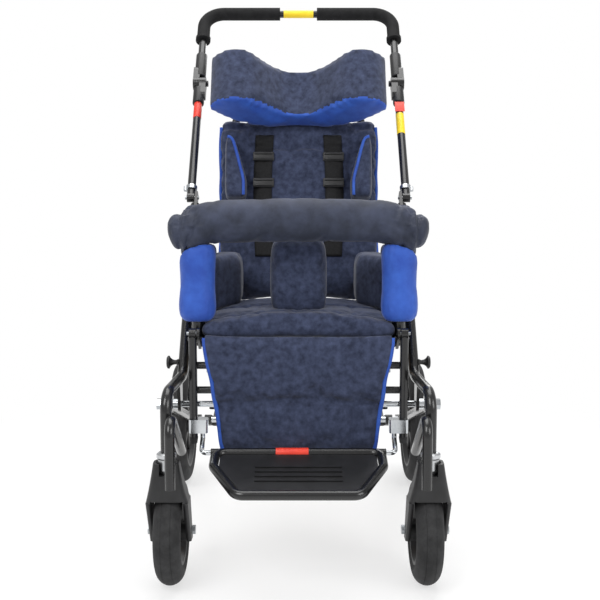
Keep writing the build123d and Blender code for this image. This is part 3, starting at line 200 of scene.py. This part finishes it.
def tube(name, line, radius, mat, body, around=12, flat=1.0, aim=None):
    """A closed round or flattened cord along a line of points."""
    pts = [Vector(p) for p in line]
    rings, faces = [], []
    side = None
    for i, p in enumerate(pts):
        run = (pts[min(i + 1, len(pts) - 1)] - pts[max(i - 1, 0)]).normalized()
        if side is None:
            side = run.orthogonal().normalized() if aim is None else Vector(aim)
        side = (side - run * side.dot(run)).normalized()
        other = run.cross(side)
        for k in range(around):
            turn = 2 * math.pi * k / around
            rings.append(p + side * (radius * math.cos(turn)) + other * (radius * flat * math.sin(turn)))
    for i in range(len(pts) - 1):
        for k in range(around):
            n = (k + 1) % around
            faces.append((i * around + k, i * around + n, (i + 1) * around + n, (i + 1) * around + k))
    faces.append(tuple(range(around)))
    faces.append(tuple(range((len(pts) - 1) * around, len(pts) * around)))
    return keep(name, mesh_of(rings, faces, name), mat, body)


def block(name, centre, size, mat, body, bevel=0.002, turn=None):
    """A box with rounded edges, turned by a rotation matrix where one is given."""
    bm = bmesh.new()
    bmesh.ops.create_cube(bm, size=1.0)
    for v in bm.verts:
        v.co = Vector((v.co.x * size[0], v.co.y * size[1], v.co.z * size[2]))
    bmesh.ops.bevel(bm, geom=bm.edges[:], offset=bevel, affect="EDGES", segments=3, profile=0.5, material=-1)
    if turn is not None:
        bmesh.ops.rotate(bm, verts=bm.verts, cent=(0, 0, 0), matrix=turn)
    bmesh.ops.translate(bm, verts=bm.verts, vec=Vector(centre))
    mesh = bpy.data.meshes.new(name)
    bm.to_mesh(mesh)
    bm.free()
    return keep(name, mesh, mat, body)


def drum(name, start, end, radius, mat, body, bevel=0.001, sides=40):
    """A round bar between two points with broken edges."""
    start, end = Vector(start), Vector(end)
    run = end - start
    bm = bmesh.new()
    bmesh.ops.create_cone(bm, cap_ends=True, segments=sides, radius1=radius, radius2=radius, depth=run.length)
    rims = [e for e in bm.edges if abs(e.verts[0].co.z - e.verts[1].co.z) < 1e-6]
    bmesh.ops.bevel(bm, geom=rims, offset=bevel, affect="EDGES", segments=3, profile=0.5, material=-1)
    bmesh.ops.rotate(bm, verts=bm.verts, cent=(0, 0, 0), matrix=run.to_track_quat("Z", "Y").to_matrix())
    bmesh.ops.translate(bm, verts=bm.verts, vec=(start + end) / 2)
    mesh = bpy.data.meshes.new(name)
    bm.to_mesh(mesh)
    bm.free()
    return keep(name, mesh, mat, body)


def points_of(mesh):
    """A mesh's vertices as an array."""
    flat = np.zeros(len(mesh.vertices) * 3)
    mesh.vertices.foreach_get("co", flat)
    return flat.reshape(-1, 3)


def set_points(mesh, pts):
    """Writes an array back to a mesh's vertices."""
    mesh.vertices.foreach_set("co", pts.ravel())
    mesh.update()


def baked(obj):
    """The object's mesh as its modifiers leave it."""
    shown = obj.evaluated_get(bpy.context.evaluated_depsgraph_get())
    return bpy.data.meshes.new_from_object(shown)


def stuffed(node, mat, body, cell=0.006, seams=None, groove=0.005, pressure=4.0, slack=-0.05, cap=0.006,
            shape=None):
    """A padded piece: the CAD solid's skin as cloth, blown up between its seams and set."""
    name = "soft_" + node
    skin = bpy.data.objects.new(name, nodes[node].data.copy())
    scene.collection.objects.link(skin)
    grid = skin.modifiers.new("grid", "REMESH")
    grid.mode = "VOXEL"
    grid.voxel_size = cell
    mesh = baked(skin)
    skin.modifiers.clear()
    skin.data = mesh
    bm = bmesh.new()
    bm.from_mesh(mesh)
    for _ in range(3):
        bmesh.ops.smooth_vert(bm, verts=bm.verts, factor=0.5, use_axis_x=True, use_axis_y=True, use_axis_z=True)
    bm.normal_update()
    bm.to_mesh(mesh)
    normals = np.array([tuple(v.normal) for v in bm.verts])
    bm.free()
    rest = points_of(mesh)
    if shape is not None:
        rest = shape(rest, normals)
    pinned = np.zeros(len(rest), bool)
    if seams is not None:
        off = seams(rest, normals)
        rest = rest - normals * (groove * np.exp(-((off / 0.007) ** 2)))[:, None]
        pinned = off < 0.6 * cell
    set_points(mesh, rest)
    group = skin.vertex_groups.new(name="seam")
    group.add([int(i) for i in np.nonzero(pinned)[0]], 1.0, "REPLACE")
    cloth = skin.modifiers.new("cloth", "CLOTH")
    cloth.settings.quality = 4
    cloth.settings.use_pressure = True
    cloth.settings.uniform_pressure_force = pressure
    cloth.settings.shrink_min = slack
    cloth.settings.tension_stiffness = 12
    cloth.settings.compression_stiffness = 12
    cloth.settings.bending_stiffness = 0.3
    cloth.settings.effector_weights.gravity = 0.0
    cloth.settings.vertex_group_mass = "seam"
    cloth.collision_settings.use_collision = False
    cloth.point_cache.frame_start = 1
    cloth.point_cache.frame_end = 20
    for step in range(1, 21):
        scene.frame_set(step)
    moved = points_of(baked(skin)) - rest
    skin.modifiers.clear()
    scene.frame_set(1)
    reach = np.linalg.norm(moved, axis=1)
    share = np.minimum(1.0, cap / np.maximum(reach, 1e-9))
    set_points(mesh, rest + moved * share[:, None])
    skin.data.materials.clear()
    for one in mat if isinstance(mat, (list, tuple)) else (mat,):
        skin.data.materials.append(one)
    mesh.polygons.foreach_set("use_smooth", [True] * len(mesh.polygons))
    finer = skin.modifiers.new("finer", "SUBSURF")
    finer.levels = 1
    finer.render_levels = 1
    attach(skin, body)
    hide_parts(node)
    return skin


def skin_tree(obj):
    """A search tree of a soft piece's surface."""
    return BVHTree.FromPolygons([v.co.copy() for v in obj.data.vertices], [tuple(p.vertices) for p in obj.data.polygons])


def on_skin(tree, points, lift):
    """Points moved onto a soft surface and lifted off it a little."""
    laid = []
    for p in points:
        spot, normal, _, _ = tree.find_nearest(Vector(p))
        laid.append(tuple(spot + normal * lift))
    laid = np.array(laid)
    for _ in range(40):
        laid[1:-1] = 0.25 * laid[:-2] + 0.5 * laid[1:-1] + 0.25 * laid[2:]
    return laid


def back_coords(pts):
    """How far up the backrest and forward of its tubes the points are."""
    off = pts - np.array(BACK_PIN)
    return off @ np.array(BACK_UP), off @ np.array(BACK_FORWARD)


def back_seams(pts, normals):
    """Stitch lines on the front of the back cushion: a centre panel, a yoke and quilted bolsters."""
    up, _ = back_coords(pts)
    across = np.abs(pts[:, 0])
    panel = np.abs(across - 0.118 - 0.03 * np.clip((0.2 - up) / 0.2, 0, 1))
    yoke = np.where(across < 0.118, np.abs(up - 0.376), 1.0)
    quilt = np.min([np.abs(up - row) for row in (0.12, 0.2, 0.28, 0.36, 0.425)], axis=0)
    off = np.minimum(np.minimum(panel, yoke), np.where(across > 0.118, quilt, 1.0))
    return np.where(normals @ np.array(BACK_FORWARD) > 0.25, off, 1.0)


def seat_seams(pts, normals):
    """Stitch lines across the seat cushion, behind its front roll."""
    rows = np.min([np.abs(pts[:, 1] - FRONT_AXLE_Y - row) for row in (0.136, 0.25)], axis=0)
    return np.where(normals[:, 2] > 0.25, rows, 1.0)


def calf_seams(pts, normals):
    """Stitch lines across the front of the calf pad."""
    arch = 0.318 + 0.012 * (1 - (pts[:, 0] / 0.17) ** 2)
    low = np.abs(pts[:, 2] - 0.232)
    return np.where(normals[:, 1] < -0.25, np.minimum(np.abs(pts[:, 2] - arch), low), 1.0)


def bolster_seams(pts, normals):
    """Tucks where the bolster's cover is gathered at its ends."""
    return np.abs(np.abs(pts[:, 0]) - 0.226)


def bolster_folds(pts, normals):
    """Slanting drag folds in the bolster's cover."""
    turn = np.arctan2(pts[:, 2] - 0.66, pts[:, 1] - FRONT_AXLE_Y - 0.112)
    reach = np.abs(pts[:, 0])
    wave = np.sin(pts[:, 0] * 95 + 1.7 * turn + 1.3 * np.sin(pts[:, 0] * 31))
    strong = 0.35 + 0.65 * np.clip(reach / 0.2, 0, 1)
    return pts - normals * (0.0022 * strong * np.clip(wave, 0, 1) ** 2)[:, None]


back_cushion = stuffed("back_cushion", NAVY, "backrest", seams=back_seams)
seat_cushion = stuffed("seat_cushion", NAVY, "chassis", seams=seat_seams)
calf_pad = stuffed("calf_pad", NAVY, "legrest", cell=0.005, seams=calf_seams, cap=0.004)
headrest = stuffed("headrest", [NAVY, BLUE], "headrest_body", slack=-0.03, cap=0.005)
bolster = stuffed("bumper_bolster", SHELL, "bumper", cell=0.005, seams=bolster_seams,
                  shape=bolster_folds, slack=-0.08)
sleeves = stuffed("post_sleeves", BLUE, "bumper", cell=0.005, slack=-0.06, cap=0.004)
pommel = stuffed("pommel", NAVY, "pommel_body", cell=0.005, slack=-0.05, cap=0.004)
hips = stuffed("hip_pads", NAVY, "chassis", cell=0.005, slack=-0.05, cap=0.003)
panels = stuffed("side_panels", SHELL, "chassis", cap=0.003)
arm_pads = stuffed("arm_pads", SHELL, "chassis", cell=0.005, slack=-0.06, cap=0.004)
wings = stuffed("back_wings", NAVY, "backrest", cell=0.005, slack=-0.04, cap=0.003)

# The headrest's underside and back are blue
aims = np.array([tuple(v.normal) for v in headrest.data.vertices])
ends = np.array([tuple(e.vertices) for e in headrest.data.edges])
for _ in range(14):
    total = aims.copy()
    np.add.at(total, ends[:, 0], aims[ends[:, 1]])
    np.add.at(total, ends[:, 1], aims[ends[:, 0]])
    aims = total / np.linalg.norm(total, axis=1)[:, None]
for face in headrest.data.polygons:
    aim = Vector(aims[list(face.vertices)].mean(axis=0))
    if aim.dot(HEAD_UP) < -0.5 or aim.dot(BACK_FORWARD) < -0.35:
        face.material_index = 1

# Blue piping sewn into the pads' edges
back_tree = skin_tree(back_cushion)
calf_tree = skin_tree(calf_pad)
head_tree = skin_tree(headrest)
for side, word in ((1, "left"), (-1, "right")):
    edge = smooth_line([on_back(side * 0.182, up, 0.034) for up in (0.05, 0.15, 0.3, 0.43)], 120)
    tube(f"back_piping_{word}", on_skin(back_tree, edge, 0.0012), 0.0042, BLUE, "backrest")
    edge = smooth_line([(side * (0.148 + 0.034 * s), FRONT_AXLE_Y + 0.068, 0.206 + 0.249 * s) for s in (0.02, 0.3, 0.6, 0.98)], 100)
    tube(f"calf_piping_{word}", on_skin(calf_tree, edge, 0.001), 0.0042, BLUE, "legrest")
    edge = smooth_line(
        [on_back(side * x, up, 0.104) for x, up in ((0.118, 0.25), (0.119, 0.29), (0.131, 0.34), (0.145, 0.388), (0.164, 0.393))], 80)
    tube(f"wing_piping_{word}", on_skin(skin_tree(wings), edge, 0.0008), 0.0036, BLUE, "backrest")

# Webbing straps laid on the back cushion, with ladder adjusters
AXES = [Vector((1, 0, 0)), BACK_UP, BACK_FORWARD]


def back_turn():
    """The rotation from a block's own axes to across, up and forward of the backrest."""
    rows = [[axis[k] for axis in AXES] for k in range(3)]
    turn = Euler((0, 0, 0)).to_matrix()
    for r in range(3):
        for c in range(3):
            turn[r][c] = rows[r][c]
    return turn


def strap(name, tree, line, width, thick):
    """A ribbon of webbing that lies on a soft surface."""
    across, verts, faces = 6, [], []
    for layer in (0.0006, thick):
        for x, up in line:
            for k in range(across + 1):
                start = on_back(x + width * (k / across - 0.5), up, 0.2)
                hit = tree.ray_cast(start, -BACK_FORWARD)[0]
                verts.append(hit + BACK_FORWARD * layer)
    rows = len(line)
    step = across + 1
    for i in range(rows - 1):
        for k in range(across):
            a = i * step + k
            b = rows * step + a
            faces += [(a, a + 1, a + step + 1, a + step), (b, b + step, b + step + 1, b + 1)]
    for i in range(rows - 1):
        for k in (0, across):
            a = i * step + k
            b = rows * step + a
            faces.append((a, a + step, b + step, b))
    for i in (0, rows - 1):
        for k in range(across):
            a = i * step + k
            b = rows * step + a
            faces.append((a, a + 1, b + 1, b))
    return keep(name, mesh_of(verts, faces, name), WEB, "backrest")


first_strap = None
for side, word in ((1, "left"), (-1, "right")):
    line = [(side * (0.077 + 0.005 * math.sin(3 * t)), 0.12 + 0.285 * t) for t in np.linspace(0, 1, 50)]
    made = strap(f"shoulder_strap_{word}", back_tree, line, 0.042, 0.0028)
    first_strap = first_strap or made
    for up in (0.290, 0.352):
        spot = back_tree.ray_cast(on_back(side * 0.08, up, 0.2), -BACK_FORWARD)[0] + BACK_FORWARD * 0.005
        block(f"adjuster_{word}_{int(up * 1000)}", spot, (0.048, 0.021, 0.0055), NYLON, "backrest", 0.0018, back_turn())
        for shift in (-0.006, 0.006):
            block(f"adjuster_bar_{word}_{int(up * 1000)}_{int(shift * 1000) + 50}", spot + BACK_UP * shift + BACK_FORWARD * 0.0034,
                  (0.042, 0.0035, 0.004), NYLON, "backrest", 0.0012, back_turn())
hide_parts("harness_straps")

# Sleeves of the tilting joint, bands and the tied tag on the push tubes
for side, word in ((1, "left"), (-1, "right")):
    x = side * 0.233
    drum(f"joint_sleeve_low_{word}", on_main(x, 0.278), on_main(x, 0.326), 0.0132, NYLON, "push_handle", 0.002)
    drum(f"joint_sleeve_high_{word}", on_main(x, 0.362), on_main(x, 0.438), 0.0132, NYLON, "handlebar_body", 0.002)
drum("red_band", on_main(-0.233, 0.2315), on_main(-0.233, 0.2775), 0.0094, RED, "push_handle", 0.0003)
drum("yellow_band", on_main(0.233, 0.182), on_main(0.233, 0.244), 0.0094, YELLOW, "push_handle", 0.0003)
drum("yellow_bar_band", on_main(-0.037, 0.586), on_main(0.037, 0.586), 0.0094, YELLOW, "handlebar_body", 0.0003)
drum("red_foot_band", FOOT_BAR + Vector((-0.043, 0, 0)), FOOT_BAR + Vector((0.019, 0, 0)), 0.0094, RED, "footrest", 0.0003)

# A small blank tag that lies on the left push tube
tag_turn = Euler((-math.asin(MAIN.y), 0, 0)).to_matrix()
tag_face = tag_turn @ Vector((0, -1, 0))
block("tag_card", on_main(0.233, 0.261) + tag_face * 0.0096, (0.022, 0.0012, 0.030), RED, "push_handle", 0.0004, tag_turn)

# Camera fitted to the photo
lens = bpy.data.cameras.new("camera")
lens.sensor_width = 36.0
lens.sensor_fit = "HORIZONTAL"
lens.lens = 963 / 600 * 36
lens.shift_x = 0.0025
lens.shift_y = -0.0083
lens.clip_end = 50
lens.dof.use_dof = False
camera = bpy.data.objects.new("camera", lens)
camera.location = (0, FRONT_AXLE_Y - 1.731, 0.728)
camera.rotation_euler = (math.radians(90 - 6.26), 0, 0)
scene.collection.objects.link(camera)
scene.camera = camera

# Studio: a pale floor, a white backdrop and soft boxes
floor_mesh = mesh_of([(-6, -6, 0), (6, -6, 0), (6, 8, 0), (-6, 8, 0)], [(0, 1, 2, 3)], "floor")
floor = bpy.data.objects.new("floor", floor_mesh)
scene.collection.objects.link(floor)
# Pale paper that runs into a white backdrop away from the stroller
paper = bpy.data.materials.new("studio_floor")
paper.use_nodes = True
tree = paper.node_tree
tree.nodes.clear()
spot = put(tree, "ShaderNodeTexCoord").outputs["Object"]
far = put(tree, "ShaderNodeVectorMath", {0: spot}, operation="LENGTH").outputs["Value"]
fade = put(tree, "ShaderNodeMapRange", {"Value": far, "From Min": 0.5, "From Max": 1.3, "To Min": 0.62}).outputs["Result"]
sheet = put(tree, "ShaderNodeBsdfDiffuse", {"Color": linear("#fafafa")})
glow = put(tree, "ShaderNodeEmission", {"Color": (1, 1, 1, 1), "Strength": 1.0})
both = put(tree, "ShaderNodeMixShader", {0: fade, 1: sheet.outputs[0], 2: glow.outputs[0]})
put(tree, "ShaderNodeOutputMaterial", {"Surface": both.outputs[0]})
floor_mesh.materials.append(paper)


def soft_box(name, place, aim, size, power):
    """A square area light aimed at a point."""
    lamp = bpy.data.lights.new(name, "AREA")
    lamp.size = size
    lamp.energy = power
    obj = bpy.data.objects.new(name, lamp)
    obj.location = place
    obj.rotation_euler = (Vector(aim) - Vector(place)).to_track_quat("-Z", "Y").to_euler()
    scene.collection.objects.link(obj)


soft_box("key", (-1.6, -2.6, 2.8), (0, 0, 0.6), 1.8, 60)
soft_box("fill", (2.2, -2.2, 1.7), (0, 0, 0.6), 1.6, 34)
soft_box("top", (0, 0.3, 3.2), (0, 0, 0.4), 2.4, 62)
soft_box("rim", (0.6, 2.6, 2.2), (0, 0, 0.8), 1.6, 30)

world = bpy.data.worlds.new("studio")
scene.world = world
world.use_nodes = True
tree = world.node_tree
tree.nodes.clear()
rays = put(tree, "ShaderNodeLightPath")
clear = put(tree, "ShaderNodeBackground", {"Color": (1, 1, 1, 1), "Strength": 1.0})
room = put(tree, "ShaderNodeBackground", {"Color": (1, 1, 1, 1), "Strength": 0.55})
pick = put(tree, "ShaderNodeMixShader", {0: rays.outputs["Is Camera Ray"], 1: room.outputs[0], 2: clear.outputs[0]})
put(tree, "ShaderNodeOutputWorld", {"Surface": pick.outputs[0]})
scene.view_settings.view_transform = "Standard"
